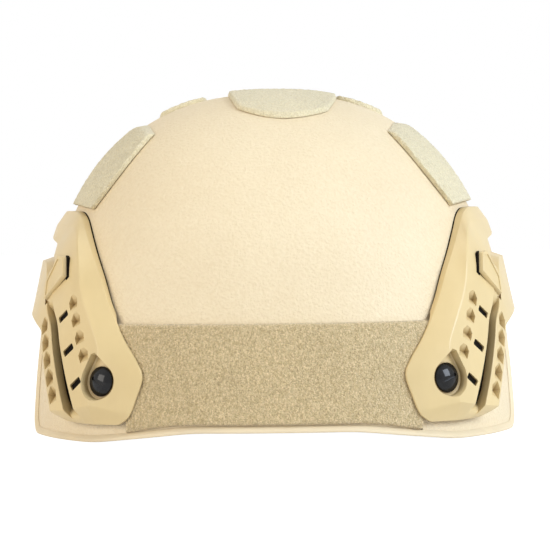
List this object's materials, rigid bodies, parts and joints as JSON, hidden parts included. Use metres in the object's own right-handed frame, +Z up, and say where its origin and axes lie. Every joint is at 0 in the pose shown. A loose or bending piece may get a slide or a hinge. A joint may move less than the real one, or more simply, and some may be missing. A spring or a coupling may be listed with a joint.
{
  "type": "high-cut combat helmet",
  "caption": "High-cut combat helmet shell with side accessory rails, loop patches, front shroud, inner pads and a folding chin-strap harness.",
  "frame": {"origin": "on the resting plane, under the middle of the helmet", "axes": "+X to the wearer's right, +Y forward over the brow, +Z up through the crown"},
  "size_m": [0.2488, 0.2863, 0.1725],
  "materials": {
    "shell": "matte sand paint with a fine orange-peel texture over a laminated fibre shell",
    "trim": "satin moulded rubber",
    "loop": "short khaki loop pile",
    "pale_loop": "short pale sand loop pile",
    "rail": "satin moulded plastic, sand",
    "black_steel": "glossy black coated steel",
    "steel": "plain satin steel",
    "pad": "soft knitted cover over foam",
    "hook": "black hook tape",
    "webbing": "woven nylon webbing, sand",
    "buckle": "matte black moulded plastic"
  },
  "bodies": {
    "helmet": {"shell": "shell", "edge_trim": "trim", "rear_loop_panel": "loop", "crown_loop_patch": "pale_loop", "side_loop_patch_right": "pale_loop", "side_loop_patch_left": "pale_loop", "front_loop_patch_right": "pale_loop", "front_loop_patch_left": "pale_loop", "rail_right": "rail", "rail_left": "rail", "rail_bolts_rear": "black_steel", "rail_bolts_front": "black_steel", "rail_nuts_rear": "steel", "rail_nuts_front": "steel", "crown_pad": "pad", "front_pad": "pad", "rear_pad": "pad", "side_pad_front_right": "pad", "side_pad_front_left": "pad", "side_pad_rear_right": "pad", "side_pad_rear_left": "pad", "hook_discs": "hook", "shroud": "rail", "shroud_screws": "black_steel", "shroud_nuts": "steel", "nape_band": "webbing", "nape_pad": "pad", "strap_hangers_front": "steel", "strap_hangers_rear": "steel"},
    "harness_right": {"strap_front_right": "webbing", "strap_rear_right": "webbing", "junction_right": "buckle"},
    "harness_left": {"strap_front_left": "webbing", "strap_rear_left": "webbing", "junction_left": "buckle"},
    "chin_right": {"chin_strap_right": "webbing", "buckle_socket": "buckle"},
    "chin_left": {"chin_strap_left": "webbing", "buckle_plug": "buckle"},
    "slider_front_right": {"adjuster_front_right": "buckle"},
    "slider_front_left": {"adjuster_front_left": "buckle"},
    "slider_rear_right": {"adjuster_rear_right": "buckle"},
    "slider_rear_left": {"adjuster_rear_left": "buckle"}
  },
  "joints": [
    {"name": "harness_right_swing", "type": "hinge", "parent": "helmet", "child": "harness_right", "pos_m": [0.076, 0, 0.017], "axis": [0, -1, 0], "range_deg": [-25, 100]},
    {"name": "chin_right_fold", "type": "hinge", "parent": "harness_right", "child": "chin_right", "pos_m": [0.01203, 0, 0.01008], "axis": [0, -1, 0], "range_deg": [0, 90]},
    {"name": "slider_front_right_slide", "type": "slide", "parent": "harness_right", "child": "slider_front_right", "axis": [-0.5582, -0.8211, -0.1193], "range_m": [-0.008, 0.008]},
    {"name": "slider_rear_right_slide", "type": "slide", "parent": "harness_right", "child": "slider_rear_right", "axis": [-0.5219, 0.8457, -0.1115], "range_m": [-0.008, 0.008]},
    {"name": "harness_left_swing", "type": "hinge", "parent": "helmet", "child": "harness_left", "pos_m": [-0.076, 0, 0.017], "axis": [0, 1, 0], "range_deg": [-25, 100]},
    {"name": "chin_left_fold", "type": "hinge", "parent": "harness_left", "child": "chin_left", "pos_m": [-0.01203, 0, 0.01008], "axis": [0, 1, 0], "range_deg": [0, 90]},
    {"name": "slider_front_left_slide", "type": "slide", "parent": "harness_left", "child": "slider_front_left", "axis": [0.5582, -0.8211, -0.1193], "range_m": [-0.008, 0.008]},
    {"name": "slider_rear_left_slide", "type": "slide", "parent": "harness_left", "child": "slider_rear_left", "axis": [0.5219, 0.8457, -0.1115], "range_m": [-0.008, 0.008]}
  ]
}
